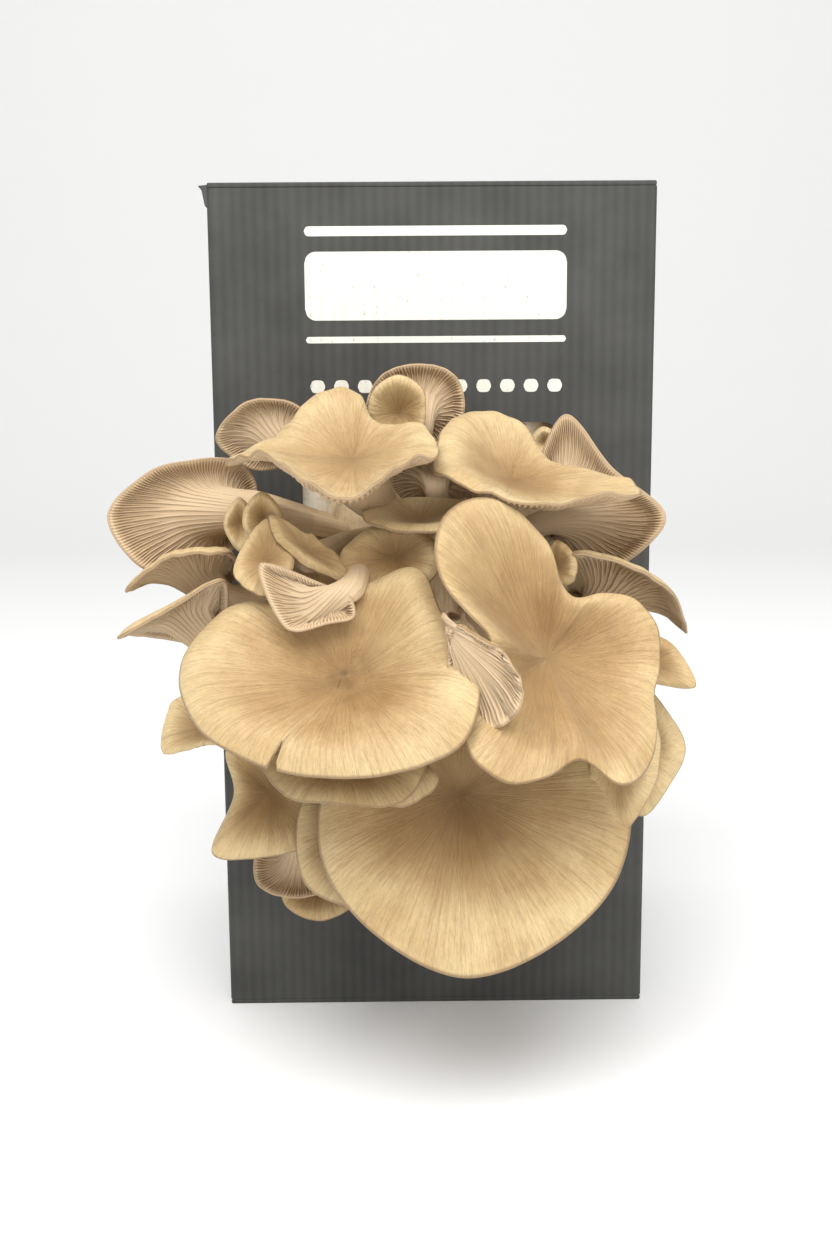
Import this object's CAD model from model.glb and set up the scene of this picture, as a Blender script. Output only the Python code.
# %% [markdown]
# # An oyster mushroom grow kit
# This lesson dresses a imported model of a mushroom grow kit. The real thing is a dark carton with
# a window, a bagged block of sawdust and mycelium inside it, and a cluster of oyster mushrooms
# that has burst out of the window. The plain solids come first, as a frame that never moves. Each
# later step makes one visible piece around them.

# %% Load the frame
import math
import random
from collections import namedtuple

import bmesh
import bpy
import numpy as np
from mathutils import Matrix, Vector


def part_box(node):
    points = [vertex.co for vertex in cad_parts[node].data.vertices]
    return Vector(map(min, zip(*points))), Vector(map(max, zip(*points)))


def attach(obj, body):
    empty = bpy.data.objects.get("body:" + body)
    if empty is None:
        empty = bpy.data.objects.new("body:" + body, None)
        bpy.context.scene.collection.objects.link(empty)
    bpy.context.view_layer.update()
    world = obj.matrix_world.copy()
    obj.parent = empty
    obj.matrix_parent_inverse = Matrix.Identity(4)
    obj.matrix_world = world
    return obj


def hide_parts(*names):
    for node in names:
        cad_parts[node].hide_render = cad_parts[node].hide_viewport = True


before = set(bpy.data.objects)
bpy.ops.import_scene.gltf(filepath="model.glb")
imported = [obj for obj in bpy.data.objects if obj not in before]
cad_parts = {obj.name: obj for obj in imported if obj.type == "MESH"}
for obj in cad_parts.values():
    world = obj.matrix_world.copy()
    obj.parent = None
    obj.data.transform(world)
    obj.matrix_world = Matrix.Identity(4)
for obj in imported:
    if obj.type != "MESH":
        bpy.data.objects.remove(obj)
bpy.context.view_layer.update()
MM = 0.001
CARTON_LOW, CARTON_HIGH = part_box("carton")
WIDTH, DEPTH, HEIGHT = CARTON_HIGH - CARTON_LOW
FRONT = CARTON_LOW.y
MIDDLE = (CARTON_LOW.x + CARTON_HIGH.x) / 2
print("carton", [round(side / MM) for side in (WIDTH, DEPTH, HEIGHT)], "mm")


def place(across, out, up):
    """A spot in millimetres: across from the carton's middle, out from its front, up from its foot."""
    return Vector((MIDDLE + across * MM, FRONT - out * MM, CARTON_LOW.z + up * MM))


# %% [markdown]
# ## A few helpers
# Every finish here is a small network of shader nodes. Writing each node and each wire in full
# would bury the idea, so a helper makes a node and sets its values, and another one joins two
# sockets. A colour ramp is the tool used most: it turns a number into a run of colours. The last
# helpers turn a finished mesh into a visible piece and say which plain solid it stands for.

# %% Helpers for finishes and pieces
SHARP_CORNER = 35


class Finish:
    """A material under construction, with short names for the things that are done most."""

    def __init__(self, name):
        self.material = bpy.data.materials.new(name)
        self.material.use_nodes = True
        self.tree = self.material.node_tree
        self.shader = self.tree.nodes["Principled BSDF"]

    def node(self, kind, **values):
        made = self.tree.nodes.new("ShaderNode" + kind)
        for key, value in values.items():
            setattr(made, key, value)
        return made

    def wire(self, output, socket):
        self.tree.links.new(output, socket)

    def feed(self, value, socket):
        """Wires an output to a socket, or sets the socket to a plain number."""
        if isinstance(value, bpy.types.NodeSocket):
            self.wire(value, socket)
        else:
            socket.default_value = value

    def math(self, operation, first, second=0.0, third=0.0):
        made = self.node("Math", operation=operation)
        for value, socket in zip((first, second, third), made.inputs):
            self.feed(value, socket)
        return made.outputs[0]

    def attribute(self, name):
        return self.node("Attribute", attribute_name=name)

    def where(self):
        return self.node("TexCoord").outputs["Object"]

    def stretched(self, vector, scale):
        made = self.node("Mapping")
        self.wire(vector, made.inputs["Vector"])
        made.inputs["Scale"].default_value = scale
        return made.outputs[0]

    def noise(self, vector, scale, detail=3.0, rough=0.55, distortion=0.0):
        made = self.node("TexNoise")
        self.wire(vector, made.inputs["Vector"])
        made.inputs["Scale"].default_value = scale
        made.inputs["Detail"].default_value = detail
        made.inputs["Roughness"].default_value = rough
        made.inputs["Distortion"].default_value = distortion
        return made.outputs[0]

    def ramp(self, value, *stops):
        """A run of (place, colour) stops; a colour may be a plain grey number."""
        made = self.node("ValToRGB")
        self.wire(value, made.inputs[0])
        points = made.color_ramp.elements
        while len(points) < len(stops):
            points.new(0.5)
        for point, (spot, colour) in zip(points, stops):
            point.position = spot
            point.color = (*colour, 1) if isinstance(colour, tuple) else (colour, colour, colour, 1)
        return made.outputs[0]

    def blend(self, share, first, second, mode="MIX"):
        made = self.node("Mix", data_type="RGBA", blend_type=mode)
        for value, socket in zip((share, first, second), (made.inputs[0], *made.inputs[6:8])):
            self.feed((*value, 1) if isinstance(value, tuple) else value, socket)
        return made.outputs[2]

    def bump(self, height, depth, strength):
        made = self.node("Bump")
        made.inputs["Strength"].default_value = strength
        made.inputs["Distance"].default_value = depth
        self.wire(height, made.inputs["Height"])
        return made.outputs[0]

    def done(self, colour, roughness, normal=None):
        self.feed((*colour, 1) if isinstance(colour, tuple) else colour, self.shader.inputs["Base Color"])
        self.feed(roughness, self.shader.inputs["Roughness"])
        if normal:
            self.wire(normal, self.shader.inputs["Normal"])
        return self.material


def mesh_from(bm, name):
    """Ends a bmesh and gives its plain mesh."""
    mesh = bpy.data.meshes.new(name)
    bm.to_mesh(mesh)
    bm.free()
    return mesh


def added(name, data):
    """A new object in the scene, which shows the mesh, lamp or camera given."""
    made = bpy.data.objects.new(name, data)
    bpy.context.scene.collection.objects.link(made)
    return made


def hand_over(piece, node):
    """Tells the frame which plain solid the piece stands for, and what it is made of."""
    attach(piece, "root")
    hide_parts(node)
    return piece


def new_piece(name, mesh, node, slot, *materials):
    for material in materials:
        mesh.materials.append(material)
    return hand_over(added(name, mesh), node)


def smooth(mesh):
    """Smooth shading that keeps real corners sharp."""
    mesh.shade_smooth()
    mesh.set_sharp_from_angle(angle=math.radians(SHARP_CORNER))


print("helpers ready")

# %% [markdown]
# ## The carton's board
# The box is cut from fine corrugated board, printed nearly black. Under raking light the flutes
# show through the paper as faint upright ribs about 3.4 mm apart. That washboard is too shallow
# to model, so it is a bump from a sine of the distance across each panel. The ink is slightly
# uneven and the paper has a fine tooth, which two noises give.

# %% The printed board's finish
FLUTE_PITCH = 3.4 * MM
INK = (0.036, 0.036, 0.033)
INK_WORN = (0.066, 0.066, 0.061)


def flute_ribs(finish):
    """A sine of the distance across the panel, whichever way the panel faces."""
    spot = finish.node("SeparateXYZ")
    finish.wire(finish.where(), spot.inputs[0])
    facing = finish.node("SeparateXYZ")
    finish.wire(finish.node("NewGeometry").outputs["Normal"], facing.inputs[0])
    sideways = finish.math("GREATER_THAN", finish.math("ABSOLUTE", facing.outputs[0]), 0.7)
    along_x = finish.math("MULTIPLY", spot.outputs[0], finish.math("SUBTRACT", 1.0, sideways))
    across = finish.math("MULTIPLY_ADD", spot.outputs[1], sideways, along_x)
    turn = finish.math("MULTIPLY", across, 2 * math.pi / FLUTE_PITCH)
    return finish.math("SINE", turn)


def printed_board():
    board = Finish("printed_board")
    spot = board.where()
    ribs = flute_ribs(board)
    mottle = board.noise(spot, 55, 5)
    tooth = board.noise(spot, 1400, 2)
    tint = board.math("MULTIPLY_ADD", ribs, 0.07, board.math("MULTIPLY", mottle, 0.9))
    ink = board.ramp(tint, (0.25, INK), (0.75, INK_WORN))
    height = board.math("MULTIPLY_ADD", tooth, 0.25, ribs)
    board.shader.inputs["Specular IOR Level"].default_value = 0.35
    rough = board.ramp(mottle, (0.3, 0.62), (0.8, 0.74))
    return board.done(ink, rough, board.bump(height, 0.035 * MM, 0.45))


def cut_board():
    """The raw edge of the board, where the brown paper inside shows."""
    raw = Finish("cut_board")
    grain = raw.noise(raw.stretched(raw.where(), (60, 60, 900)), 1.0, 4)
    paper = raw.ramp(grain, (0.3, (0.10, 0.085, 0.065)), (0.8, (0.26, 0.21, 0.15)))
    return raw.done(paper, 0.9)


PRINTED_BOARD = printed_board()
CUT_BOARD = cut_board()
print("board finishes:", PRINTED_BOARD.name, CUT_BOARD.name)

# %% [markdown]
# ## The folded carton
# A carton is one sheet, folded round four upright creases and glued, then closed with flaps. The
# four walls are made as a loop of points with small arcs at the creases, raised in rows so that
# each panel can belly out by a fraction of a millimetre, as a packed carton does. Solidify gives
# the wall its thickness, and a Boolean cuts the window. The flaps are separate thin slabs.

# %% The carton's walls
BOARD = 1.6 * MM
CREASE_RADIUS = 1.6 * MM
CREASE_STEPS = 4
PANEL_BELLY = 0.45 * MM
PANEL_COLUMNS = 24
PANEL_ROWS = 40
WINDOW_WIDTH, WINDOW_SILL, WINDOW_HEAD, WINDOW_CORNER = 84, 108, 196, 8
CUTTER_DEPTH = 12 * MM


def wall_outline():
    """Points round the carton from above, which way each looks, and how slack the board is there."""
    half = Vector((WIDTH / 2 - CREASE_RADIUS, DEPTH / 2 - CREASE_RADIUS))
    centre = (CARTON_LOW + CARTON_HIGH).xy / 2
    corners = [centre + half * Vector(sides) for sides in ((1, -1), (1, 1), (-1, 1), (-1, -1))]
    outline = []
    for quarter, corner in enumerate(corners):
        for step in range(CREASE_STEPS + 1):
            angle = math.radians(90 * (quarter - 1 + step / CREASE_STEPS))
            outward = Vector((math.cos(angle), math.sin(angle)))
            outline.append((corner + CREASE_RADIUS * outward, outward, 0.0))
        following = corners[(quarter + 1) % 4]
        for step in range(1, PANEL_COLUMNS):
            share = step / PANEL_COLUMNS
            spot = corner.lerp(following, share) + CREASE_RADIUS * outward
            outline.append((spot, outward, math.sin(math.pi * share)))
    return outline


def carton_walls():
    bm = bmesh.new()
    outline = wall_outline()
    rows = []
    for row in range(PANEL_ROWS + 1):
        up = row / PANEL_ROWS
        ring = []
        for spot, outward, slack in outline:
            spot = spot + outward * PANEL_BELLY * slack * math.sin(math.pi * up)
            level = CARTON_LOW.z + BOARD + up * (HEIGHT - 2 * BOARD)
            ring.append(bm.verts.new((spot.x, spot.y, level)))
        rows.append(ring)
    for low, high in zip(rows, rows[1:]):
        for i in range(len(low)):
            j = (i + 1) % len(low)
            bm.faces.new((low[i], low[j], high[j], high[i]))
    return mesh_from(bm, "carton_walls")


def window_cutter():
    """A block as large as the window, with round corners, to cut it out with."""
    height = (WINDOW_HEAD - WINDOW_SILL) * MM
    bm = bmesh.new()
    bmesh.ops.create_cube(bm, size=1.0)
    bmesh.ops.scale(bm, vec=(WINDOW_WIDTH * MM, CUTTER_DEPTH, height), verts=bm.verts)
    bmesh.ops.translate(bm, vec=place(0, 0, (WINDOW_HEAD + WINDOW_SILL) / 2), verts=bm.verts)
    through = [edge for edge in bm.edges
               if abs(edge.verts[0].co.y - edge.verts[1].co.y) > CUTTER_DEPTH / 2]
    bmesh.ops.bevel(bm, geom=through, offset=WINDOW_CORNER * MM, segments=8, profile=0.5,
                    affect="EDGES")
    for face in bm.faces:
        face.material_index = 1
    mesh = mesh_from(bm, "window_cutter")
    mesh.materials.append(PRINTED_BOARD)
    mesh.materials.append(CUT_BOARD)
    return added("window_cutter", mesh)


def baked(piece):
    """Applies the piece's modifiers, so that what is exported is plain mesh."""
    bpy.context.view_layer.update()
    evaluated = piece.evaluated_get(bpy.context.evaluated_depsgraph_get())
    mesh = bpy.data.meshes.new_from_object(evaluated)
    piece.modifiers.clear()
    piece.data = mesh
    mesh.name = piece.name
    return mesh


walls = added("carton_walls", carton_walls())
walls.data.materials.append(PRINTED_BOARD)
walls.data.materials.append(CUT_BOARD)
shell = walls.modifiers.new("Board", "SOLIDIFY")
shell.thickness = BOARD
shell.offset = -1
shell.use_even_offset = True
shell.material_offset_rim = 1
cutter = window_cutter()
opening = walls.modifiers.new("Window", "BOOLEAN")
opening.operation = "DIFFERENCE"
opening.solver = "EXACT"
opening.object = cutter
smooth(baked(walls))
bpy.data.objects.remove(cutter)
hand_over(walls, "carton")
print("carton walls:", len(walls.data.polygons), "faces")

# %% [markdown]
# ## The flaps
# The top and the bottom are each closed by two long flaps that meet along a seam. The short flaps
# under them stay out of sight, all but the corner of one, which peeps out past the upright crease
# as a small ear. Each long flap is a slab with its edges rounded. Board springs back a little, so
# the top pair is tipped by a third of a degree about its creases.

# %% The carton's flaps
FLAP_LIFT = math.radians(0.35)
FLAP_INSET = 0.6 * MM
SEAM = 0.5 * MM
EAR_OUTLINE = [(0.5, 0.0), (-2.6, -0.3), (-1.4, -1.6), (-0.5, -6.5), (0.5, -7.0)]


def flap(name, side, top):
    """Half of the top or the bottom: a slab hinged on the front or the back wall's crease."""
    bm = bmesh.new()
    bmesh.ops.create_cube(bm, size=1.0)
    bmesh.ops.scale(bm, vec=(WIDTH - FLAP_INSET, DEPTH / 2 - SEAM / 2, BOARD), verts=bm.verts)
    bmesh.ops.bevel(bm, geom=bm.edges[:], offset=0.45 * MM, segments=3, profile=0.5,
                    affect="EDGES")
    middle_y = (CARTON_LOW.y + CARTON_HIGH.y) / 2
    level = CARTON_HIGH.z - BOARD / 2 if top else CARTON_LOW.z + BOARD / 2
    bmesh.ops.translate(
        bm, vec=(MIDDLE, middle_y + side * (DEPTH / 4 + SEAM / 4), level), verts=bm.verts
    )
    if top:
        hinge = Vector((MIDDLE, middle_y + side * DEPTH / 2, CARTON_HIGH.z))
        lift = Matrix.Rotation(-side * FLAP_LIFT, 3, "X")
        bmesh.ops.rotate(bm, cent=hinge, matrix=lift, verts=bm.verts)
    mesh = mesh_from(bm, name)
    smooth(mesh)
    new_piece(name, mesh, "carton", "dark_board", PRINTED_BOARD)


for level, top in (("top", True), ("bottom", False)):
    for word, side in (("front", -1), ("back", 1)):
        flap(f"carton_{level}_flap_{word}", side, top)


def ear():
    """The corner of a tucked flap, standing out past the top left crease."""
    corner = Vector((CARTON_LOW.x, FRONT, CARTON_HIGH.z - 0.6 * MM))
    bm = bmesh.new()
    bm.faces.new([bm.verts.new(corner + Vector((x, 0.3, z)) * MM) for x, z in EAR_OUTLINE])
    slab = bmesh.ops.extrude_face_region(bm, geom=bm.faces[:])
    moved = [made for made in slab["geom"] if isinstance(made, bmesh.types.BMVert)]
    bmesh.ops.translate(bm, vec=(0, BOARD, 0), verts=moved)
    bmesh.ops.recalc_face_normals(bm, faces=bm.faces)
    bmesh.ops.bevel(bm, geom=bm.edges[:], offset=0.2 * MM, segments=2, affect="EDGES")
    new_piece("carton_ear", mesh_from(bm, "carton_ear"), "carton", "dark_board", PRINTED_BOARD)


ear()
print("flaps and ear in place")

# %% [markdown]
# ## The print on the front
# Cartons like this carry a pale print over the dark ink. Here it is plain shapes only: a block
# between two thin rules, and a row of dashes below. Ink lies flush with the paper, so each shape
# is a flat sheet a few hundredths of a millimetre proud of the panel. It is made of narrow upright
# strips, which let it follow the panel's belly and round its own corners. Its finish shows the
# same ribs, with specks where the ink missed.

# %% The pale print
PRINT_MIDDLE = 1.0
PRINT_PROUD = 0.04 * MM
PRINT_WIDTH = 82
DASHES = 11
DASH_PITCH = 7.5


def pale_ink():
    ink = Finish("pale_ink")
    spot = ink.where()
    ribs = flute_ribs(ink)
    specks = ink.noise(spot, 900, 3)
    wear = ink.math("MULTIPLY_ADD", ribs, 0.05, specks)
    colour = ink.ramp(wear, (0.24, (0.34, 0.33, 0.29)), (0.34, (0.64, 0.625, 0.55)),
                      (0.75, (0.71, 0.695, 0.61)))
    return ink.done(colour, 0.7, ink.bump(ribs, 0.035 * MM, 0.45))


def rounded_bar(bm, across, up, width, height, radius):
    """Adds a flat bar with round corners to the print, in strips that can follow the panel."""
    strips = 4 * max(2, round(width / 2))
    for k in range(strips):
        left, right = (across - width / 2 + width * (k + s) / strips for s in (0, 1))
        corners = []
        for x in (left, right):
            inset = max(0.0, abs(x - across) - (width / 2 - radius))
            rise = height / 2 - radius + math.sqrt(max(0.0, radius**2 - inset**2))
            corners.append((x, up - rise))
            corners.append((x, up + rise))
        order = (corners[0], corners[2], corners[3], corners[1])
        bm.faces.new([bm.verts.new(place(x, 0, z)) for x, z in order])


def on_panel(bm):
    """Pushes the print out to just proud of the bellied front panel."""
    for vert in bm.verts:
        share = (vert.co.x - CARTON_LOW.x) / WIDTH
        up = (vert.co.z - CARTON_LOW.z) / HEIGHT
        belly = PANEL_BELLY * math.sin(math.pi * share) * math.sin(math.pi * up)
        vert.co.y = FRONT - belly - PRINT_PROUD


def front_print():
    bm = bmesh.new()
    rounded_bar(bm, PRINT_MIDDLE, 255.2, PRINT_WIDTH, 3.0, 1.5)
    rounded_bar(bm, PRINT_MIDDLE, 238.5, PRINT_WIDTH, 21.0, 3.5)
    rounded_bar(bm, PRINT_MIDDLE, 222.0, PRINT_WIDTH, 2.0, 1.0)
    for k in range(DASHES):
        across = PRINT_MIDDLE + DASH_PITCH * (k - (DASHES - 1) / 2)
        rounded_bar(bm, across, 207.5, 4.6, 4.0, 1.6)
    on_panel(bm)
    new_piece("carton_print", mesh_from(bm, "carton_print"), "carton", "dark_board", pale_ink())


front_print()
print("print in place")

# %% [markdown]
# ## What shows in the window
# Behind the window lies the bagged block. The film is thin and clear, so it is a see-through
# shader on a slightly wrinkled sheet, torn open where the mushrooms broke out. The block is
# sawdust bound by mycelium, the fungus's white threads: a rounded box, pushed into soft lumps by
# a few slow waves, and coloured from brown sawdust to white felt by a noise.

# %% The block and its bag
BOX_CORNER = 9 * MM
WAVE_COUNT = 14
TEAR_UP = 151
TEAR_HALF_WIDTH, TEAR_HALF_HEIGHT, TEAR_REACH = 40, 43, 8


def felted_block():
    felt = Finish("felted_block")
    spot = felt.where()
    patches = felt.noise(spot, 60, 6, 0.6)
    threads = felt.noise(spot, 520, 4, 0.7)
    colour = felt.ramp(patches, (0.34, (0.30, 0.19, 0.10)), (0.47, (0.66, 0.57, 0.42)),
                       (0.60, (0.86, 0.83, 0.75)))
    height = felt.math("MULTIPLY_ADD", threads, 0.4, patches)
    return felt.done(colour, 0.92, felt.bump(height, 1.2 * MM, 0.7))


def clear_film():
    film = Finish("clear_film")
    creases = film.noise(film.stretched(film.where(), (1, 1, 0.35)), 90, 4, 0.6, 0.8)
    film.shader.inputs["Transmission Weight"].default_value = 0.9
    film.shader.inputs["IOR"].default_value = 1.15
    film.shader.inputs["Alpha"].default_value = 0.38
    return film.done((0.92, 0.93, 0.91), 0.18, film.bump(creases, 1.5 * MM, 0.5))


def soft_box(node, shrink, lump, seed):
    """A rounded box inside a CAD node's box, with lumps pushed in and never out."""
    low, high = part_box(node)
    size = high - low - 2 * Vector((shrink, shrink, shrink))
    bm = bmesh.new()
    bmesh.ops.create_cube(bm, size=1.0)
    bmesh.ops.scale(bm, vec=size, verts=bm.verts)
    bmesh.ops.bevel(bm, geom=bm.edges[:], offset=BOX_CORNER, segments=4, profile=0.5,
                    affect="EDGES")
    bmesh.ops.subdivide_edges(bm, edges=bm.edges[:], cuts=7, use_grid_fill=True)
    bmesh.ops.translate(bm, vec=(low + high) / 2, verts=bm.verts)
    bm.normal_update()
    rng = np.random.default_rng(seed)
    waves = [(rng.normal(0, 60, 3), rng.uniform(0, 6.28)) for _ in range(WAVE_COUNT)]
    for vert in bm.verts:
        swell = sum(math.sin(vert.co.dot(Vector(way)) + phase) for way, phase in waves) / 6
        vert.co -= vert.normal * lump * (0.5 + 0.5 * max(-1, min(1, swell)))
    return bm


def in_tear(spot):
    """Whether a spot of the film is in the oval torn open behind the window."""
    from_middle = (spot - place(0, 0, TEAR_UP)) / MM
    oval = (from_middle.x / TEAR_HALF_WIDTH) ** 2 + (from_middle.z / TEAR_HALF_HEIGHT) ** 2
    return from_middle.y < TEAR_REACH and oval < 1


def bagged_block():
    lumps = soft_box("substrate_block", 0.3 * MM, 1.6 * MM, 3)
    block = mesh_from(lumps, "sawdust_block")
    block.shade_smooth()
    new_piece("sawdust_block", block, "substrate_block", "substrate", felted_block())
    sheet = soft_box("grow_bag", 0.0, 0.5 * MM, 5)
    torn = [vert for vert in sheet.verts if in_tear(vert.co)]
    bmesh.ops.delete(sheet, geom=torn, context="VERTS")
    film = mesh_from(sheet, "bag_film")
    film.shade_smooth()
    new_piece("bag_film", film, "grow_bag", "bag_film", clear_film())


bagged_block()
print("block and bag in place")

# %% [markdown]
# ## Flesh: cap, gills and stem
# A mushroom needs three finishes. The cap's skin is satin, warm tan, browner towards the heart
# and paler at the margin, combed with fine fibres that run from heart to rim. The gills are
# pinkish beige blades, brown down in the slots between them. The stem is pale and fibrous. Flesh
# lets a little light through, which subsurface scattering gives. Plain object coordinates can't
# follow a curled cap, so the mesh itself carries four things for the shaders to read: `rimward`
# (0 at the heart, 1 at the rim), `slot` (how deep between two gills), `tone` (how much paler or
# browner this mushroom is) and `fibre`, a position unrolled round the cap. A noise stretched along
# that last one makes fibres.

# %% The mushroom's three finishes
SKIN_HEART = (0.370, 0.225, 0.088)
SKIN_MIDDLE = (0.470, 0.312, 0.136)
SKIN_MARGIN = (0.610, 0.455, 0.232)
RIM_LINE = (0.16, 0.080, 0.030)
GILL_EDGE = (0.57, 0.430, 0.270)
GILL_MIDDLE = (0.50, 0.365, 0.220)
GILL_SLOT = (0.34, 0.225, 0.125)
STEM_SHADE = (0.52, 0.370, 0.210)
STEM_PALE = (0.70, 0.550, 0.350)


def let_light_through(finish, reach, share):
    """Subsurface scattering, with red light reaching furthest."""
    finish.shader.inputs["Subsurface Weight"].default_value = share
    finish.shader.inputs["Subsurface Radius"].default_value = (1.0, 0.55, 0.25)
    finish.shader.inputs["Subsurface Scale"].default_value = reach


def cap_skin():
    skin = Finish("cap_skin")
    rimward = skin.attribute("rimward").outputs["Fac"]
    fibre = skin.attribute("fibre").outputs["Vector"]
    tone = skin.attribute("tone").outputs["Fac"]
    patches = skin.noise(skin.where(), 34, 3, 0.55)
    clouds = skin.noise(skin.where(), 90, 4, 0.6)
    combed = skin.noise(skin.stretched(fibre, (1, 1, 0.06)), 0.9, 5, 0.68, 0.4)
    fine = skin.noise(skin.stretched(fibre, (1, 1, 0.16)), 3.4, 4, 0.7, 0.6)
    cloudy = skin.math("MULTIPLY_ADD", skin.math("SUBTRACT", clouds, 0.5), 0.75, rimward)
    streaky = skin.math("MULTIPLY_ADD", skin.math("SUBTRACT", combed, 0.5), 0.50, cloudy)
    shade = skin.math("ADD", streaky, tone)
    colour = skin.ramp(shade, (0.10, SKIN_HEART), (0.52, SKIN_MIDDLE), (0.92, SKIN_MARGIN))
    browned = skin.ramp(patches, (0.34, (0.78, 0.69, 0.58)), (0.56, (1, 1, 1)))
    colour = skin.blend(0.85, colour, browned, "MULTIPLY")
    streaks = skin.ramp(combed, (0.32, 0.80), (0.50, 0.98), (0.70, 1.0))
    colour = skin.blend(0.9, colour, streaks, "MULTIPLY")
    felt = skin.ramp(fine, (0.36, 0.74), (0.58, 1.04))
    colour = skin.blend(0.85, colour, felt, "MULTIPLY")
    line = skin.ramp(rimward, (0.982, 0.0), (0.994, 0.9))
    colour = skin.blend(skin.math("MULTIPLY", line, 0.7), colour, RIM_LINE)
    height = skin.math("MULTIPLY_ADD", fine, 0.35, combed)
    let_light_through(skin, 1.2 * MM, 0.06)
    skin.shader.inputs["Sheen Weight"].default_value = 0.08
    rough = skin.ramp(clouds, (0.3, 0.46), (0.7, 0.60))
    return skin.done(colour, rough, skin.bump(height, 0.5 * MM, 0.8))


def gill_flesh():
    gills = Finish("gill_flesh")
    slot = gills.attribute("slot").outputs["Fac"]
    fibre = gills.attribute("fibre").outputs["Vector"]
    streak = gills.noise(gills.stretched(fibre, (1, 1, 0.05)), 1.6, 4, 0.6)
    depth = gills.math("MULTIPLY_ADD", gills.math("SUBTRACT", streak, 0.5), 0.5, slot)
    colour = gills.ramp(depth, (0.05, GILL_EDGE), (0.45, GILL_MIDDLE), (0.95, GILL_SLOT))
    rimward = gills.attribute("rimward").outputs["Fac"]
    line = gills.ramp(rimward, (0.972, 0.0), (0.99, 0.7))
    colour = gills.blend(gills.math("MULTIPLY", line, 0.6), colour, RIM_LINE)
    let_light_through(gills, 1.2 * MM, 0.12)
    return gills.done(colour, 0.62, gills.bump(streak, 0.25 * MM, 0.5))


def stem_flesh():
    stem = Finish("stem_flesh")
    fibre = stem.attribute("fibre").outputs["Vector"]
    down = stem.noise(stem.where(), 900, 3, 0.7)
    streak = stem.noise(stem.stretched(fibre, (1, 1, 0.07)), 1.5, 4, 0.6)
    colour = stem.ramp(streak, (0.3, STEM_SHADE), (0.6, STEM_PALE))
    let_light_through(stem, 2.5 * MM, 0.15)
    height = stem.math("MULTIPLY_ADD", down, 0.3, streak)
    return stem.done(colour, 0.75, stem.bump(height, 0.4 * MM, 0.6))


FLESH = (cap_skin(), gill_flesh(), stem_flesh())
SKIN_SIDE, GILL_SIDE, STEM_SIDE = range(3)
print("mushroom finishes:", [finish.name for finish in FLESH])

# %% [markdown]
# ## The cluster's base
# The stems of an oyster cluster fuse into one pale butt that roots on the block. Here it is half
# an egg, made from a sphere and pushed about by a few slow waves, so that it isn't a perfect dome.
# It stays inside the plain solid's own box, whose size it reads from the frame.

# %% The cluster's base
BASE_LOW, BASE_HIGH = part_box("cluster_base")
BASE_HALF = (BASE_HIGH - BASE_LOW) / 2 / MM
BASE_HALF.y = (FRONT - BASE_LOW.y) / MM
BASE_UP = ((BASE_LOW.z + BASE_HIGH.z) / 2 - CARTON_LOW.z) / MM
BASE_SIZE, BASE_WAVE = 0.965, 0.02
BASE_BACK = -2.5


def butt():
    bm = bmesh.new()
    bmesh.ops.create_uvsphere(bm, u_segments=96, v_segments=64, radius=1.0)
    for vert in bm.verts:
        way = vert.co.copy()
        wave = math.sin(7 * way.x + 3 * way.z) * math.sin(6 * way.z - 2) + math.sin(9 * way.y)
        size = BASE_SIZE + BASE_WAVE * wave
        vert.co = place(way.x * BASE_HALF.x * size, max(BASE_BACK, -way.y * BASE_HALF.y * size),
                        BASE_UP + way.z * BASE_HALF.z * size)
    mesh = mesh_from(bm, "cluster_butt")
    mesh.shade_smooth()
    fibre = mesh.attributes.new("fibre", "FLOAT_VECTOR", "POINT")
    for vert, carried in zip(mesh.vertices, fibre.data):
        carried.vector = vert.co / MM
    new_piece("cluster_butt", mesh, "cluster_base", "cluster_base", FLESH[STEM_SIDE])


butt()
print("butt:", [round(side) for side in BASE_HALF], "mm from its middle to its sides")

# %% [markdown]
# ## Where each mushroom stands
# No two mushrooms of a cluster are alike, so their places are a list. Each row gives the heart,
# the middle of the cap's upper side; the root on the butt; the stem's radius; how much the cap
# bulges. The side that shows, the cap or the gills, looks to the front, turned so many degrees to
# the right and leaning so many up. Its rim is told like a clock face, from the top and clockwise:
# the reach is how far out from the heart the rim is, and the lift how far it curls to the front.
# These are the same numbers as in the plain solids. Two short lists after them are looks only:
# how strongly a margin ripples, and how much paler (more than 0) or browner a mushroom is.

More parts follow.
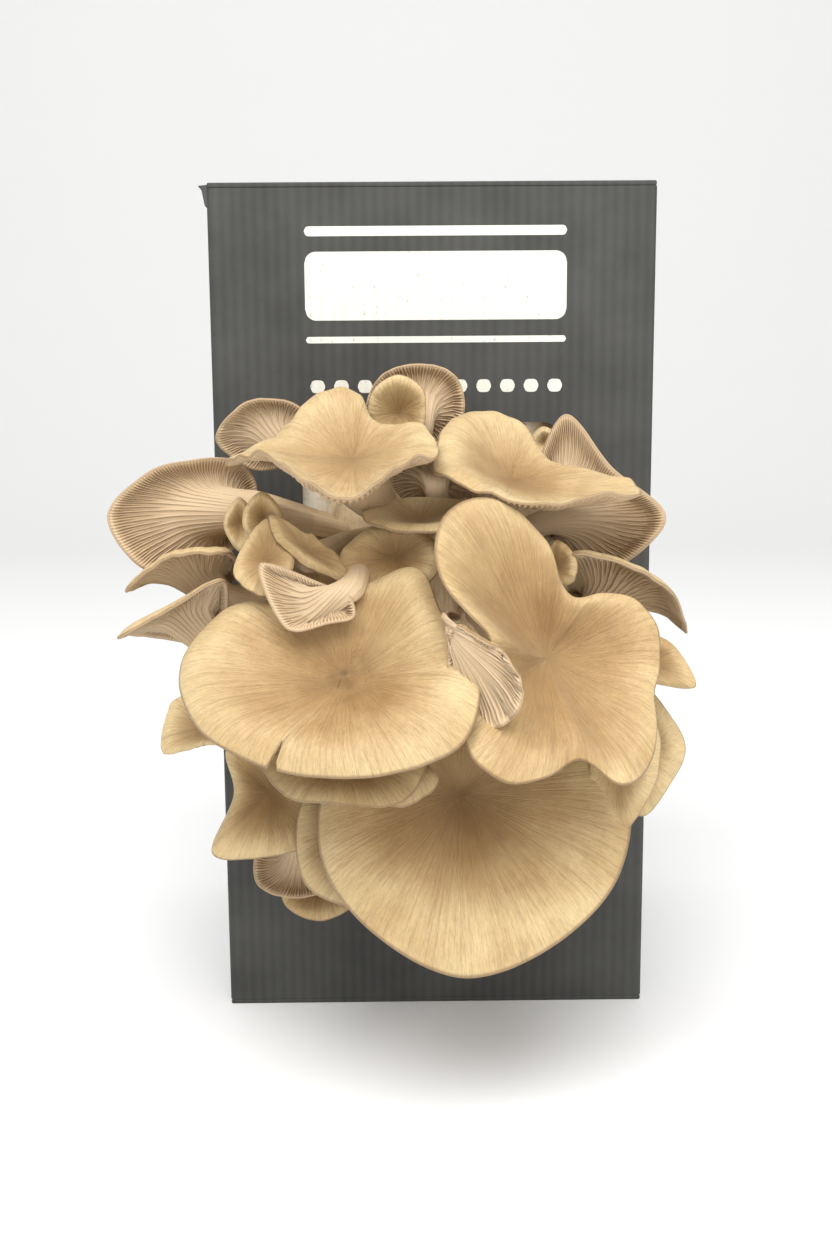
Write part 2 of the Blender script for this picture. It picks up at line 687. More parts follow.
# %% The list of mushrooms
CAP, GILLS = 1, -1
Mushroom = namedtuple("Mushroom", "name shows heart turn lean root stem bulge reach lift")
MUSHROOMS = [
    Mushroom("mushroom_front_left", CAP, (-26, 80, 131), -10, 45, (-12, 146), 6.5, 3.0,
             reach=(27, 35, 30, 37, 41, 36, 34, 36, 42, 46, 42, 28),
             lift=(8, 14, 13, 12, 8, 8, 9, 9, 10, 8, 6, 5)),
    Mushroom("mushroom_front_right", CAP, (30, 72, 134), 15, 25, (14, 140), 5.0, 3.0,
             reach=(32, 19, 17, 22, 27, 29, 29, 29, 29, 35, 40, 40,
                    31, 36, 41, 41, 34, 26, 23, 29, 40, 46, 47, 43),
             lift=(13, 10, 9, 10, 12, 13, 13, 13, 12, 13, 14, 15,
                   15, 15, 15, 15, 13, 18, 25, 26, 23, 21, 19, 16)),
    Mushroom("mushroom_bottom", CAP, (6, 60, 92), 0, 40, (6, 124), 5.5, 4.0,
             reach=(20, 24, 36, 48, 51, 51, 53, 48, 45, 40, 32, 23),
             lift=(0, 0, 2, 3, 0, -3, -4, -3, -1, 1, 2, 0)),
    Mushroom("mushroom_upper_left", CAP, (-24, 54, 188), 0, 50, (-14, 170), 5.5, 3.0,
             reach=(24, 15, 22, 24, 25, 23, 30, 27, 26, 36, 24, 24),
             lift=(7, 2, 4, 7, 9, 11, 7, 11, 12, 1, 1, 6)),
    Mushroom("mushroom_upper_right", CAP, (22, 42, 181), 0, 50, (14, 166), 5.5, 4.0,
             reach=(23, 16, 15, 27, 36, 29, 26, 24, 26, 22, 23, 26),
             lift=(5, 2, -2, 0, 7, 10, 11, 15, 16, 13, 11, 8)),
    Mushroom("mushroom_pale_gill", GILLS, (-30, 72, 149), 0, 15, (-20, 157), 3.0, 1.0,
             reach=(5, 6, 8, 6, 14, 22), lift=(1, 3, 4, 5, 4, 3)),
    Mushroom("mushroom_centre", CAP, (-12, 57, 160), 0, 20, (-4, 158), 4.0, 2.0,
             reach=(9, 11, 13, 12, 12, 15, 16, 12), lift=(2, 3, 4, 4, 4, 3, 3, 2)),
    Mushroom("mushroom_under_shelf", CAP, (-27, 75, 107), 0, 45, (-8, 130), 4.0, 1.5,
             reach=(12, 14, 23, 24, 18, 21, 23, 17), lift=(0, 0, 6, 8, 8, 7, 4, 0)),
    Mushroom("mushroom_under_frill", GILLS, (-12, 76, 106), 15, -60, (-2, 118), 3.0, 1.0,
             reach=(6, 11, 9, 8, 11, 12), lift=(13, 7, 0, 0, 0, 10)),
    Mushroom("mushroom_right_point", CAP, (60, 56, 129), 0, 20, (28, 138), 3.0, 1.0,
             reach=(8, 9, 15, 6, 7, 7), lift=(2, 3, 4, 2, 0, 0)),
    Mushroom("mushroom_right_inner", CAP, (51, 60, 101), 0, 10, (20, 126), 4.0, 2.5,
             reach=(17, 15, 11, 12, 20, 12, 8, 9), lift=(3, 6, 8, 8, 6, 2, -2, -2)),
    Mushroom("mushroom_right_outer", CAP, (59, 49, 102), 0, 10, (30, 130), 4.0, 2.5,
             reach=(19, 13, 13, 13, 20, 13, 8, 9), lift=(3, 5, 6, 6, 5, 1, -3, -2)),
    Mushroom("mushroom_right_shelf", GILLS, (50, 36, 146), 30, -60, (28, 150), 4.0, 3.0,
             reach=(28, 21, 22, 10, 10, 12, 17, 31), lift=(7, 18, 8, -4, -2, -3, -6, -7)),
    Mushroom("mushroom_small_curl", CAP, (33, 57, 157), -20, 10, (18, 156), 2.5, 0.5,
             reach=(8, 7, 7, 6, 4, 4), lift=(2, 3, 3, 3, 1, 1)),
    Mushroom("mushroom_right_fan", GILLS, (38, 27, 168), -25, 10, (24, 162), 3.5, 2.0,
             reach=(31, 22, 35, 24, 10, 7, 8, 14), lift=(1, 0, 7, 7, 5, 1, 0, 0)),
    Mushroom("mushroom_crown_inner", CAP, (-11, 28, 200), 0, 0, (-10, 182), 3.0, 1.0,
             reach=(11, 10, 8, 9, 9, 9, 9, 10), lift=(6, 6, 6, 5, 3, 3, 5, 6)),
    Mushroom("mushroom_crown_back", GILLS, (-5, 20, 200), 0, 0, (-4, 186), 3.0, 2.0,
             reach=(15, 16, 14, 11, 9, 12, 16, 16), lift=(5, 4, 3, -1, -4, -2, 2, 4)),
    Mushroom("mushroom_left_ear", GILLS, (-47, 23, 193), 0, 0, (-26, 180), 3.0, 2.0,
             reach=(12, 12, 10, 9, 9, 13, 19, 15), lift=(6, 6, 4, 0, -5, -4, 2, 5)),
    Mushroom("mushroom_far_left", GILLS, (-66, 22, 171), 25, 0, (-34, 164), 4.5, 3.0,
             reach=(16, 16, 14, 11, 11, 12, 15, 22, 31, 35, 25, 18),
             lift=(2, -1, -1, -1, 0, -1, 1, 2, 3, 0, -1, 1)),
    Mushroom("mushroom_left_shelf", GILLS, (-70, 32, 152), -30, -60, (-35, 148), 4.0, 2.0,
             reach=(20, 20, 10, 9, 9, 12, 15, 22), lift=(0, -5, -8, -6, -4, -4, -2, 10)),
    Mushroom("mushroom_left_low", GILLS, (-72, 40, 140), -30, -45, (-34, 138), 4.0, 2.0,
             reach=(14, 22, 10, 8, 9, 13, 21, 18), lift=(6, -6, -4, 0, 0, 1, 6, 15)),
    Mushroom("mushroom_left_tip", CAP, (-64, 66, 114), -20, 10, (-26, 132), 3.0, 1.0,
             reach=(9, 10, 8, 5, 16, 14), lift=(-1, 0, 3, 5, 5, 2)),
    Mushroom("mushroom_left_fold", CAP, (-48, 60, 160), 0, 20, (-28, 150), 3.5, 1.0,
             reach=(13, 8, 8, 11, 10, 8), lift=(0, 0, 4, 8, 6, 3)),
    Mushroom("mushroom_inner_band", CAP, (-37, 58, 163), 30, 40, (-20, 164), 3.0, 1.0,
             reach=(6, 6, 5, 6, 10, 17, 9, 6, 5, 6, 10, 15),
             lift=(1, 1, 1, 1, 2, 4, 3, 1, 1, 1, 1, 1)),
    Mushroom("mushroom_knuckle_inner", CAP, (-50, 50, 171), 0, 0, (-29, 164), 3.0, 1.5,
             reach=(8, 6, 6, 8, 6, 6), lift=(3, 3, 4, 4, 4, 3)),
    Mushroom("mushroom_knuckle_outer", CAP, (-57, 45, 169), 0, 0, (-32, 158), 3.0, 1.5,
             reach=(8, 5, 5, 8, 5, 5), lift=(3, 3, 3, 4, 3, 3)),
    Mushroom("mushroom_centre_band", CAP, (-5, 50, 170), 0, 60, (-4, 166), 3.0, 1.0,
             reach=(13, 17, 17, 14, 17, 17), lift=(0, 2, 7, 8, 7, 2)),
    Mushroom("mushroom_centre_back", GILLS, (0, 28, 180), 0, -10, (0, 170), 2.5, 1.0,
             reach=(8, 13, 13, 13, 14, 15), lift=(5, 5, 3, 2, 3, 6)),
    Mushroom("mushroom_bottom_collar", CAP, (-15, 46, 82), 0, 30, (-6, 117), 4.0, 2.0,
             reach=(13, 13, 19, 27, 30, 33, 26, 19), lift=(1, 0, 3, 2, 5, 7, 8, 5)),
    Mushroom("mushroom_lower_left", CAP, (-50, 44, 88), 0, 10, (-24, 122), 4.0, 2.5,
             reach=(17, 16, 14, 19, 18, 24, 11, 19), lift=(-3, -3, 2, 6, 9, 9, 5, 1)),
    Mushroom("mushroom_lower_gill", GILLS, (-43, 32, 62), 0, 20, (-18, 118), 3.0, 1.5,
             reach=(9, 13, 14, 12, 15, 14), lift=(-2, 0, 4, 6, 4, 0)),
    Mushroom("mushroom_lower_back", CAP, (-37, 27, 55), 0, 10, (-12, 113), 3.0, 1.0,
             reach=(8, 14, 13, 12, 13, 12), lift=(0, 2, 7, 9, 7, 2)),
    Mushroom("mushroom_bud", CAP, (34, 10, 190), 0, 0, (24, 180), 2.0, 2.0,
             reach=(5, 5, 4, 4, 4, 4), lift=(1, 1, 1, 1, 1, 1)),
]
RIPPLES = {"mushroom_front_right": 1.1, "mushroom_upper_left": 1.7, "mushroom_upper_right": 1.3,
           "mushroom_right_fan": 0.3, "mushroom_far_left": 0.3, "mushroom_pale_gill": 0.2}
TONES = {"mushroom_front_right": -0.24, "mushroom_lower_left": -0.10, "mushroom_bud": 0.45,
         "mushroom_right_outer": 0.30, "mushroom_right_inner": 0.24, "mushroom_upper_right": 0.10,
         "mushroom_inner_band": 0.22, "mushroom_centre_band": 0.28, "mushroom_left_ear": 0.12,
         "mushroom_knuckle_inner": 0.10, "mushroom_knuckle_outer": 0.10, "mushroom_pale_gill": 0.30}
print(len(MUSHROOMS), "mushrooms listed")

# %% [markdown]
# ## From a rim to a cap
# The clock face's reaches and lifts first become points. A Catmull-Rom curve, which passes
# through every point, joins them, and it is then stepped evenly along its length. The number of
# steps comes from the gills: one gill for each millimetre or so of margin, four steps to a gill.
# The cap's upper side is a dish: at a share `t` of the way from heart to rim it has moved out by
# `t` but risen by less, and a bulge lifts the part between. Near the rim the margin rolls down a
# little. On two caps the front of the margin turns up instead, which bares a strip of gills below
# it. One cap has a split: there the sheet simply stops short of the rim.

# %% The rim and the cap's upper side
FINE_PITCH, COARSE_PITCH = 1.0, 1.45
STEPS_PER_GILL = 4
USUAL_RIPPLE = 0.45
RIPPLE_WAVES = (3, 5, 7, 8, 11, 13, 17, 23)
MARGIN_ROLL = 1.3
ROLL_START = 0.74
ROLLED_CAPS = {"mushroom_front_left": 4.5, "mushroom_front_right": 2.2, "mushroom_left_shelf": 2.5}
UPTURNED_CAPS = {"mushroom_upper_left": 12.0, "mushroom_upper_right": 11.0}
UPTURN_START = 0.55
UPTURN_WIDENING = 0.018
SPLIT_CAP = "mushroom_front_left"
SPLIT_SPOT = (-45, 106, 114)
SPLIT_DEPTH = 0.27
SPLIT_STEPS = 3.5
NAVEL_HEIGHT, NAVEL_SHARE = 2.2, 0.075
MOAT_DEPTH, MOAT_SPOT, MOAT_SHARE = 1.3, 0.15, 0.07
SKY = np.array([0.0, 0.0, 1.0])


def along_rim(points, count):
    """Evenly spaced places on the smooth closed curve through the points, and its length."""
    dense = []
    knots = np.array(points, float)
    before, after, beyond = (np.roll(knots, shift, axis=0) for shift in (1, -1, -2))
    for t in np.arange(24) / 24:
        dense.append(0.5 * (2 * knots + (after - before) * t
                            + (2 * before - 5 * knots + 4 * after - beyond) * t**2
                            + (3 * knots - before - 3 * after + beyond) * t**3))
    curve = np.stack(dense, axis=1).reshape(-1, 3)
    loop = np.vstack([curve, curve[:1]])
    walked = np.concatenate([[0], np.cumsum(np.linalg.norm(np.diff(loop, axis=0), axis=1))])
    stops = walked[-1] * np.arange(count) / count
    even = np.stack([np.interp(stops, walked, loop[:, k]) for k in range(3)], axis=1)
    return even, walked[-1]


def clock_face(row):
    """The ways right, to the top and to the front on the side of a mushroom that shows."""
    turn = math.radians(row.turn)
    lean = math.radians(row.lean)
    ahead = np.array([math.sin(turn), math.cos(turn), 0])
    right = np.array([math.cos(turn), -math.sin(turn), 0])
    top = SKY * math.cos(lean) - ahead * math.sin(lean)
    front = ahead * math.cos(lean) + SKY * math.sin(lean)
    return right, top, front


def rim_points(row):
    """The rim's points, clockwise from the top of the side that shows."""
    right, top, front = clock_face(row)
    angle = math.tau * np.arange(len(row.reach)) / len(row.reach)
    way = np.outer(np.sin(angle), right) + np.outer(np.cos(angle), top)
    return np.array(row.heart) + np.array(row.reach)[:, None] * way + np.outer(row.lift, front)


def softened(ring, reach):
    """A closed ring's values, averaged with their neighbours to lose any corner."""
    weights = np.hanning(2 * reach + 3)[1:-1]
    weights /= weights.sum()
    shifts = range(-reach, reach + 1)
    return sum(w * np.roll(ring, s, axis=0) for w, s in zip(weights, shifts))


def unit(vectors):
    return vectors / np.maximum(np.linalg.norm(vectors, axis=-1, keepdims=True), 1e-9)


def ring_facing(ring):
    """The way that a closed ring of points looks, as a unit vector."""
    return unit(np.cross(ring, np.roll(ring, -1, axis=0)).sum(axis=0))


def margin_share(far, start):
    """0 up to the start of the margin, and from there evenly up to 1 at the rim."""
    return np.maximum(0, far - start) / (1 - start)


def navel(t):
    """The small knob at a cap's heart, and the shallow moat round it."""
    knob = NAVEL_HEIGHT * math.exp(-((t / NAVEL_SHARE) ** 2))
    return knob - MOAT_DEPTH * math.exp(-(((t - MOAT_SPOT) / MOAT_SHARE) ** 2))


class Cap:
    """One mushroom's measures, worked out from its row in the list."""

    def __init__(self, row):
        self.row = row
        self.rng = random.Random(row.name)
        self.heart = np.array(row.heart, float)
        length = along_rim(rim_points(row), 8)[1]
        pitch = FINE_PITCH if row.shows == GILLS else COARSE_PITCH
        self.gills = 4 * max(6, round(length / pitch / 4))
        self.columns = self.gills * STEPS_PER_GILL
        rim, self.rim_length = along_rim(rim_points(row), self.columns)
        rim = softened(rim, self.columns // 90)
        self.axis = ring_facing(rim)
        if self.axis @ clock_face(row)[2] * row.shows < 0:
            rim = rim[::-1]
            self.axis = -self.axis
        reach = rim - self.heart
        self.rise = reach @ self.axis
        self.flat = reach - self.rise[:, None] * self.axis
        self.width = np.linalg.norm(self.flat, axis=1).mean()
        self.ripple = self.margin_ripple()
        self.notch = self.split()
        self.upturn = self.margin_upturn()
        self.flat = self.flat * (1 + UPTURN_WIDENING * self.upturn)[:, None]

    def margin_ripple(self):
        """A few waves of random size and start, summed round the rim."""
        turn = math.tau * np.arange(self.columns) / self.columns
        waves = sum(
            self.rng.uniform(0.3, 1.0) / (k**0.5) * np.sin(k * turn + self.rng.uniform(0, 6.28))
            for k in RIPPLE_WAVES
        )
        return waves * RIPPLES.get(self.row.name, USUAL_RIPPLE)

    def margin_upturn(self):
        """How far the margin turns up: most where the rim is lowest, and not at all above."""
        low = np.clip(-1.4 * unit(self.flat)[:, 2], 0, 1)
        return UPTURNED_CAPS.get(self.row.name, 0.0) * low * low * (3 - 2 * low)

    def split(self):
        """How far out the sheet goes in each direction: all the way, but for a notch in one cap."""
        if self.row.name != SPLIT_CAP:
            return np.ones(self.columns)
        aside = np.linalg.norm(self.heart + self.flat - np.array(SPLIT_SPOT), axis=1)
        steps = np.abs((np.arange(self.columns) - aside.argmin() + self.columns // 2)
                       % self.columns - self.columns // 2)
        return 1 - SPLIT_DEPTH * np.clip(1 - steps / SPLIT_STEPS, 0, 1)

    def top(self, t):
        """The upper side at this share of the way from the heart to the rim."""
        far = t * self.notch
        lift = self.rise * far**1.8 + self.row.bulge * 6.75 * far**2 * (1 - far)
        roll = ROLLED_CAPS.get(self.row.name, MARGIN_ROLL)
        lift += self.ripple * far**3 - roll * margin_share(far, ROLL_START) ** 2
        if self.row.name == SPLIT_CAP:
            lift += navel(t)
        curl = self.upturn * margin_share(far, UPTURN_START) ** 2
        return (self.heart + self.flat * far[:, None] + lift[:, None] * self.axis
                + curl[:, None] * SKY)

    def normal(self, t):
        """Which way the upper side looks there."""
        step = 0.02
        outward = self.top(min(1.0, t + step)) - self.top(max(0.001, t - step))
        round_rim = np.roll(self.top(t), -1, axis=0) - np.roll(self.top(t), 1, axis=0)
        facing = unit(np.cross(outward, round_rim))
        return facing * np.sign(facing @ self.axis)[:, None]


print("gills under the front left cap:", Cap(MUSHROOMS[0]).gills)

# %% [markdown]
# ## Gills and stem
# An oyster mushroom's gills run down onto its stem, so the underside and the stem are one long
# trumpet. Each of its lines, from rim to root, is a smooth spline through a few guide rings: some
# under the cap, some round a bent centre line for the stem. The gills are real ridges raised from
# that trumpet. Every fourth gill runs the whole way, the one between those runs half way, and the
# rest are short ones near the rim, which is how real gills fill a widening cap. `GILL_ENDS` says at
# what share of the way from the heart each of the four stops.

# %% The underside, the stem and the gills
EDGE_THICKNESS = 0.75
CORE_THICKNESS = 4.5
CAP_GUIDES = (1.0, 0.88, 0.76, 0.62, 0.48, 0.34)
STEM_GUIDES = (0.22, 0.45, 0.7, 1.0)
STEM_FLARE = 0.7
STEM_LEAN = 2.0
STEM_REIN = 0.33
STEM_SINK = 3.0
GILL_HEIGHT = 0.85
GILL_ENDS = (0.10, 0.78, 0.48, 0.78)
RIDGE_PROFILE = (1.0, 0.32, 0.0, 0.32)


def root_spot(row):
    """Where the stem meets the butt, a little way in, and the way out of the butt there."""
    across, up = row.root
    wide, deep, high = BASE_HALF
    out = deep * math.sqrt(1 - (across / wide) ** 2 - ((up - BASE_UP) / high) ** 2)
    way_out = unit(np.array([across / wide**2, out / deep**2, (up - BASE_UP) / high**2]))
    return np.array([across, out, up]) - STEM_SINK * way_out, way_out


def turned(vectors, start, finish):
    """The vectors, turned by whatever turn takes one direction to another."""
    turn = Vector(start).rotation_difference(Vector(finish)).to_matrix()
    return vectors @ np.array(turn).T


def stem_rings(cap, shares):
    """Rings round the stem's bent centre line, from the cap down to the root."""
    foot, way_out = root_spot(cap.row)
    top = cap.heart - cap.axis * CORE_THICKNESS
    rim = cap.heart + cap.flat
    aside = cap.heart - rim.mean(axis=0)
    width = np.linalg.norm(rim - cap.heart, axis=1).mean()
    way_down = unit(aside * STEM_LEAN / width - cap.axis)
    rein = STEM_REIN * np.linalg.norm(foot - top)
    a, b, c, d = top, top + way_down * rein, foot + way_out * rein, foot
    rings = []
    for s in shares:
        centre = (1 - s)**3 * a + 3 * s * (1 - s)**2 * b + 3 * s**2 * (1 - s) * c + s**3 * d
        along = unit((1 - s)**2 * (b - a) + 2 * s * (1 - s) * (c - b) + s**2 * (d - c))
        radius = cap.row.stem * (1 + STEM_FLARE * (1 - s)**2)
        rings.append(centre + radius * turned(unit(cap.flat), -cap.axis, along))
    return rings


def spline_rows(guides, count):
    """Rows between the first guide ring and the last, on a smooth B-spline."""
    padded = np.stack([guides[0], *guides, guides[-1]])
    padded[0] = 2 * guides[0] - guides[1]
    padded[-1] = 2 * guides[-1] - guides[-2]
    rows = []
    for spot in np.linspace(0, len(guides) - 1, count):
        k = min(int(spot), len(guides) - 2)
        t = spot - k
        p0, p1, p2, p3 = padded[k:k + 4]
        rows.append(((1 - t)**3 * p0 + (3 * t**3 - 6 * t**2 + 4) * p1
                     + (-3 * t**3 + 3 * t**2 + 3 * t + 1) * p2 + t**3 * p3) / 6)
    return np.stack(rows)


def trumpet(cap, rows):
    """The gills' side and the stem without their ridges, from the rim to the root."""
    guides = []
    for share in CAP_GUIDES:
        thick = EDGE_THICKNESS + (CORE_THICKNESS - EDGE_THICKNESS) * (1 - share)
        inward = unit(0.65 * cap.normal(share) + 0.35 * cap.axis)
        guides.append(cap.top(share) - thick * inward)
    guides += stem_rings(cap, STEM_GUIDES)
    return spline_rows(guides, rows), len(CAP_GUIDES) / (len(guides) - 1)


def gill_heights(cap, rows, under_share):
    """How far each point of the trumpet is raised, and how deep in a slot it lies."""
    column = np.arange(cap.columns)
    gill = column // STEPS_PER_GILL
    ends = np.array(GILL_ENDS)[gill % 4]
    wander = np.array([cap.rng.uniform(-0.07, 0.07) for _ in range(cap.gills)])[gill]
    vigour = np.array([cap.rng.uniform(0.8, 1.1) for _ in range(cap.gills)])[gill]
    ridge = np.array(RIDGE_PROFILE)[column % STEPS_PER_GILL]
    raised, slots = [], []
    for row in range(rows):
        walked = row / (rows - 1) / under_share
        reach = 1 - walked
        start = np.clip(walked / 0.10, 0, 1)
        fade = np.clip((reach - (ends + wander - 0.1)) / 0.14, 0, 1)
        if walked > 1:
            fade = np.where(gill % 4 == 0, np.clip(1 - (walked - 1) / 0.35, 0, 1), 0)
        size = start * fade * vigour * np.clip(0.35 + 0.65 * reach * 1.6, 0.25, 1)
        raised.append(GILL_HEIGHT * ridge * size)
        slots.append((1 - ridge) * np.clip(start * 1.2, 0, 1) * np.clip(1.3 - walked, 0.1, 1))
    return np.array(raised), np.array(slots)


# %% [markdown]
# ## Sewing the mushroom's mesh
# The upper side needs half as many columns as the gills, so the two grids meet at the rim in a
# row of five-sided faces. Each grid is one array of points, and the faces are worked out from row
# and column numbers. The last function hangs the four carried values on the points.

# %% The mushroom's mesh
TOP_ROWS = (0.03, 0.06, 0.09, 0.12, 0.15, 0.20, 0.25, 0.32, 0.39, 0.46, 0.53, 0.60,
            0.66, 0.72, 0.78, 0.83, 0.87, 0.905, 0.935, 0.96, 0.98, 0.993)
UNDER_ROWS = 26
STEM_START = 1.25


def grid_faces(start, rows, columns):
    """Quads between the rows of a grid that closes on itself."""
    faces = []
    for row in range(rows - 1):
        for i in range(columns):
            j = (i + 1) % columns
            low = start + row * columns
            faces.append((low + i, low + j, low + columns + j, low + columns + i))
    return faces


def mushroom_parts(cap):
    """The points of the upper side, of the rim's edge, and of the trumpet with its gills."""
    half = slice(0, None, 2)
    top = np.stack([cap.top(t)[half] for t in TOP_ROWS])
    outward = unit(cap.top(1.0) - cap.top(0.97))
    edge = cap.top(1.0) + 0.25 * outward - 0.32 * EDGE_THICKNESS * cap.normal(1.0)
    smooth_trumpet, under_share = trumpet(cap, UNDER_ROWS)
    across = np.roll(smooth_trumpet, -1, axis=1) - np.roll(smooth_trumpet, 1, axis=1)
    down = np.gradient(smooth_trumpet, axis=0)
    facing = unit(np.cross(across, down))
    if (facing[1] @ cap.axis).mean() > 0:
        facing = -facing
    raised, slots = gill_heights(cap, UNDER_ROWS, under_share)
    return top, edge, smooth_trumpet + raised[:, :, None] * facing, slots, under_share


def mushroom_faces(columns):
    """The faces of the upper side, and those of the underside and the stem."""
    halves = columns // 2
    edge = 1 + len(TOP_ROWS) * halves
    outer = edge - halves
    skin = [(1 + i, 1 + (i + 1) % halves, 0) for i in range(halves)]
    skin += grid_faces(1, len(TOP_ROWS), halves)
    for i in range(halves):
        j = (i + 1) % halves
        skin.append((outer + i, outer + j, edge + 2 * j, edge + 2 * i + 1, edge + 2 * i))
    foot = edge + (UNDER_ROWS + 1) * columns
    low = foot - columns
    under_and_stem = grid_faces(edge, UNDER_ROWS + 1, columns)
    under_and_stem += [(low + i, low + (i + 1) % columns, foot) for i in range(columns)]
    return skin, under_and_stem


def mushroom_mesh(row):
    """A whole mushroom: the heart, the upper side, the rim, the underside and stem, the foot."""
    cap = Cap(row)
    top, edge, under, slots, under_share = mushroom_parts(cap)
    foot = root_spot(row)[0]
    points = np.vstack([cap.heart[None], top.reshape(-1, 3), edge, under.reshape(-1, 3), foot[None]])
    skin, under_and_stem = mushroom_faces(cap.columns)
    spots = np.stack([MIDDLE + points[:, 0] * MM, FRONT - points[:, 1] * MM,
                      CARTON_LOW.z + points[:, 2] * MM], axis=1)
    mesh = bpy.data.meshes.new(row.name)
    mesh.from_pydata(spots, [], skin + under_and_stem)
    sides = np.full(len(mesh.polygons), SKIN_SIDE)
    sides[len(skin):] = GILL_SIDE
    sides[len(skin) + round(UNDER_ROWS * under_share * STEM_START) * cap.columns:] = STEM_SIDE
    mesh.polygons.foreach_set("material_index", sides)
    carry(mesh, cap, slots, under_share)
    bm = bmesh.new()
    bm.from_mesh(mesh)
    bmesh.ops.recalc_face_normals(bm, faces=bm.faces)
    bm.to_mesh(mesh)
    bm.free()
    mesh.shade_smooth()
    return mesh


def carry(mesh, cap, slots, under_share):
    """Hangs rimward, slot, tone and fibre on the mesh's points."""
    halves = cap.columns // 2
    walked = np.linspace(0, 1 / under_share, UNDER_ROWS)
    rimward = np.concatenate([[0.0], np.repeat(TOP_ROWS, halves), np.ones(cap.columns),
                              np.repeat(np.clip(1 - walked, 0, 1), cap.columns), [0.0]])
    slot = np.concatenate([np.zeros(len(rimward) - 1 - slots.size), slots.ravel(), [0.0]])
    radius = cap.rim_length / math.tau
    turn_top = math.tau * np.arange(halves) / halves
    turn_all = math.tau * np.arange(cap.columns) / cap.columns
    turn = np.concatenate([[0.0], np.tile(turn_top, len(TOP_ROWS)),
                           np.tile(turn_all, UNDER_ROWS + 1), [0.0]])
    length = cap.width * np.concatenate([[0.0], np.repeat(TOP_ROWS, halves), np.ones(cap.columns),
                                         1 + np.repeat(walked, cap.columns), [3.0]])
    shift = cap.rng.uniform(0, 500)
    fibre = np.stack([radius * np.cos(turn), radius * np.sin(turn), length + shift], axis=1)
    tone = np.full(len(rimward), TONES.get(cap.row.name, 0.0))
    for name, values in (("rimward", rimward), ("slot", slot), ("tone", tone)):
        mesh.attributes.new(name, "FLOAT", "POINT").data.foreach_set("value", values)
    unrolled = mesh.attributes.new("fibre", "FLOAT_VECTOR", "POINT")
    unrolled.data.foreach_set("vector", fibre.ravel())


print("rows of points:", len(TOP_ROWS), "on top and", UNDER_ROWS, "underneath and down the stem")

# %% [markdown]
# ## The mushrooms grow
# Every row of the list now becomes one piece. The front right mushroom has a part that no single
# disc can give: its margin folds over in the gap beside the front left cap and shows its gills.
# That fold is a second, small mesh of the same mushroom, told by a clock face of its own.

# %% Grow the mushrooms and the fold
FOLD = Mushroom("mushroom_front_right", GILLS, (5, 94, 145), -15, -10, (8, 140), 1.3, 1.0,
                reach=(3, 3, 3, 3, 3, 4, 6, 11, 19, 24, 26, 26,
                       22, 12, 7, 5, 4, 3, 3, 3, 3, 3, 3, 3),
                lift=(0, 0, 0, 0, 0, 0, 1, 1, 2, 3, 3, 3,
                      2, 1, 0, 0, 0, 0, 0, 0, 0, 0, 0, 0))


def grow(name, row):
    """Makes one mesh of a mushroom, and counts its triangles."""
    grown = new_piece(name, mushroom_mesh(row), row.name, "mushroom_flesh", *FLESH)
    return sum(len(face.vertices) - 2 for face in grown.data.polygons)


total = sum(grow(row.name.replace("mushroom", "oyster"), row) for row in MUSHROOMS)
total += grow("oyster_front_right_fold", FOLD)
print(len(MUSHROOMS), "mushrooms,", total, "triangles")

# %% [markdown]
# ## The white sweep
# Its side view is a floor, a quarter circle and a wall.

# %% The white sweep
SWEEP_WIDTH, SWEEP_TOP = 6.0, 3.5
FLOOR_NEAR, FLOOR_MIDDLE, FLOOR_FAR = -4.0, -1.5, 1.2
SWEEP_RADIUS = 0.8
SWEEP_WHITE = (0.87, 0.87, 0.865)


def sweep():
    bend = [math.radians(10 * k) for k in range(1, 10)]
    profile = [(y, 0.0) for y in (FLOOR_NEAR, FLOOR_MIDDLE, FLOOR_FAR)]
    profile += [(FLOOR_FAR + SWEEP_RADIUS * math.sin(a), SWEEP_RADIUS * (1 - math.cos(a)))
                for a in bend]
    profile += [(FLOOR_FAR + SWEEP_RADIUS, SWEEP_TOP)]
    bm = bmesh.new()
    rows = [[bm.verts.new((side * SWEEP_WIDTH / 2, y, CARTON_LOW.z + z)) for side in (-1, 1)]
            for y, z in profile]
    for near, far in zip(rows, rows[1:]):
        bm.faces.new((near[0], near[1], far[1], far[0]))
    mesh = mesh_from(bm, "sweep")
    mesh.shade_smooth()
    mesh.materials.append(Finish("white_sweep").done(SWEEP_WHITE, 0.8))
    added("sweep", mesh)


sweep()
print("sweep:", SWEEP_WIDTH, "m wide")

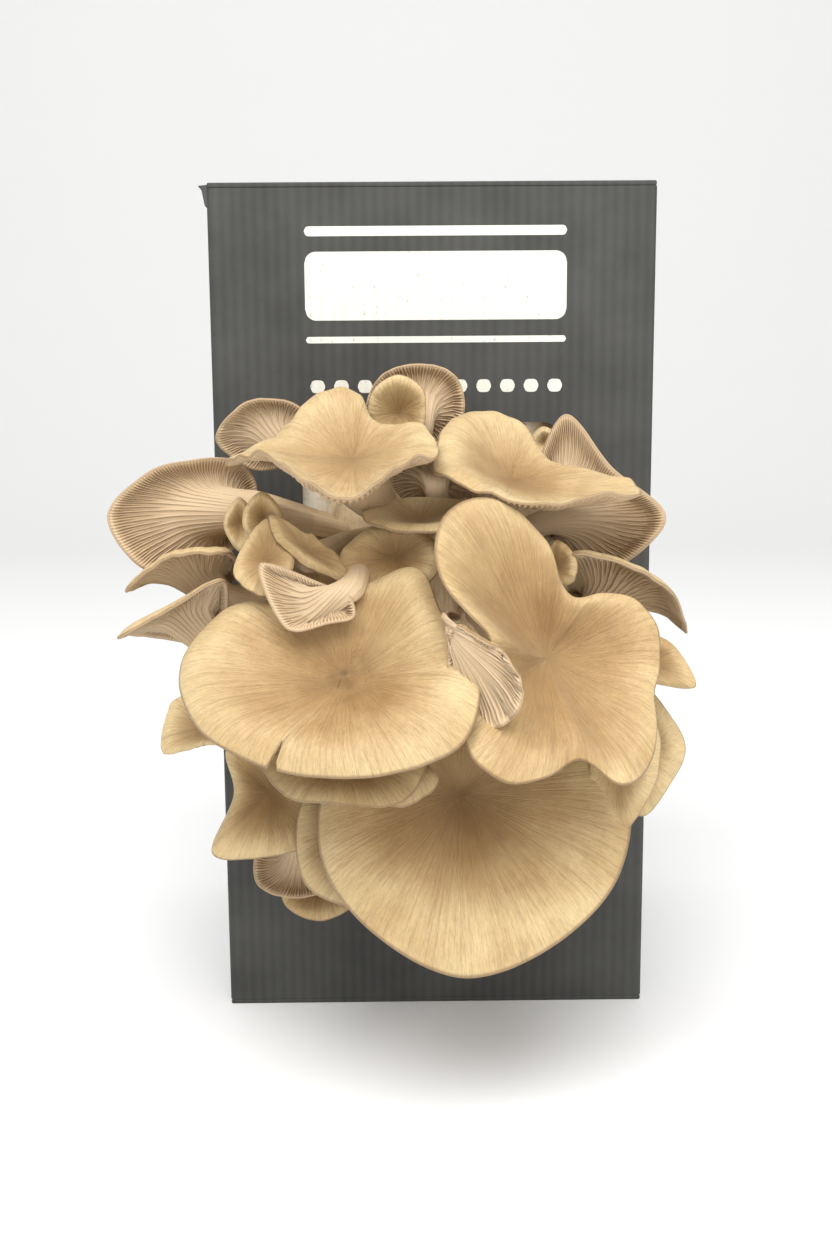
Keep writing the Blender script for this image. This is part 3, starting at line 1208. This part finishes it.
# %% [markdown]
# ## The light
# They are area lamps, and it is their size that makes the shadows soft. A pale world fills in the
# rest. The Standard view keeps the white of the sweep white.

# %% Lamps and world
WORLD_STRENGTH = 0.62
AIM = Vector((0, FRONT, 0.14))


def soft_box_lamp(name, spot, size, watts):
    """A large rectangular lamp that looks at the middle of the cluster."""
    data = bpy.data.lights.new(name, "AREA")
    data.shape = "RECTANGLE"
    data.size, data.size_y = size
    data.energy = watts
    lamp = added(name, data)
    lamp.location = spot
    lamp.rotation_euler = (AIM - Vector(spot)).to_track_quat("-Z", "Y").to_euler()


soft_box_lamp("overhead", (-0.15, -0.85, 1.4), (1.5, 1.2), 32)
soft_box_lamp("front_right", (0.9, -1.5, 0.7), (1.2, 1.2), 10)
world = bpy.data.worlds.new("studio")
world.use_nodes = True
sky_light = world.node_tree.nodes["Background"]
sky_light.inputs["Color"].default_value = (1, 1, 1, 1)
sky_light.inputs["Strength"].default_value = WORLD_STRENGTH
bpy.context.scene.world = world
bpy.context.scene.view_settings.view_transform = "Standard"
print("lit by two soft boxes and a pale world")

# %% [markdown]
# ## The camera
# The camera stands nearly straight in front and a little above the cluster, and looks down by ten
# degrees. Its place is told in the same millimetres as the mushrooms. Yaw turns it to the right,
# and roll tips it to one side.

# %% The camera
EYE = (-10, 465, 213)
PITCH, YAW, ROLL = (math.radians(angle) for angle in (10.0, 0.5, -0.4))
LENS, SENSOR = 41.8, 36.0


def camera():
    data = bpy.data.cameras.new("camera")
    data.lens = LENS
    data.sensor_width = SENSOR
    made = added("camera", data)
    ahead = Vector((math.sin(YAW), math.cos(YAW), 0)) * math.cos(PITCH)
    ahead.z = -math.sin(PITCH)
    right = Vector((math.cos(YAW), -math.sin(YAW), 0))
    turn = Matrix((right, right.cross(ahead), -ahead)).transposed()
    made.matrix_world = (Matrix.Translation(place(*EYE)) @ turn.to_4x4()
                         @ Matrix.Rotation(ROLL, 4, "Z"))
    bpy.context.scene.camera = made


camera()
print("camera:", EYE, "mm across, out and up")
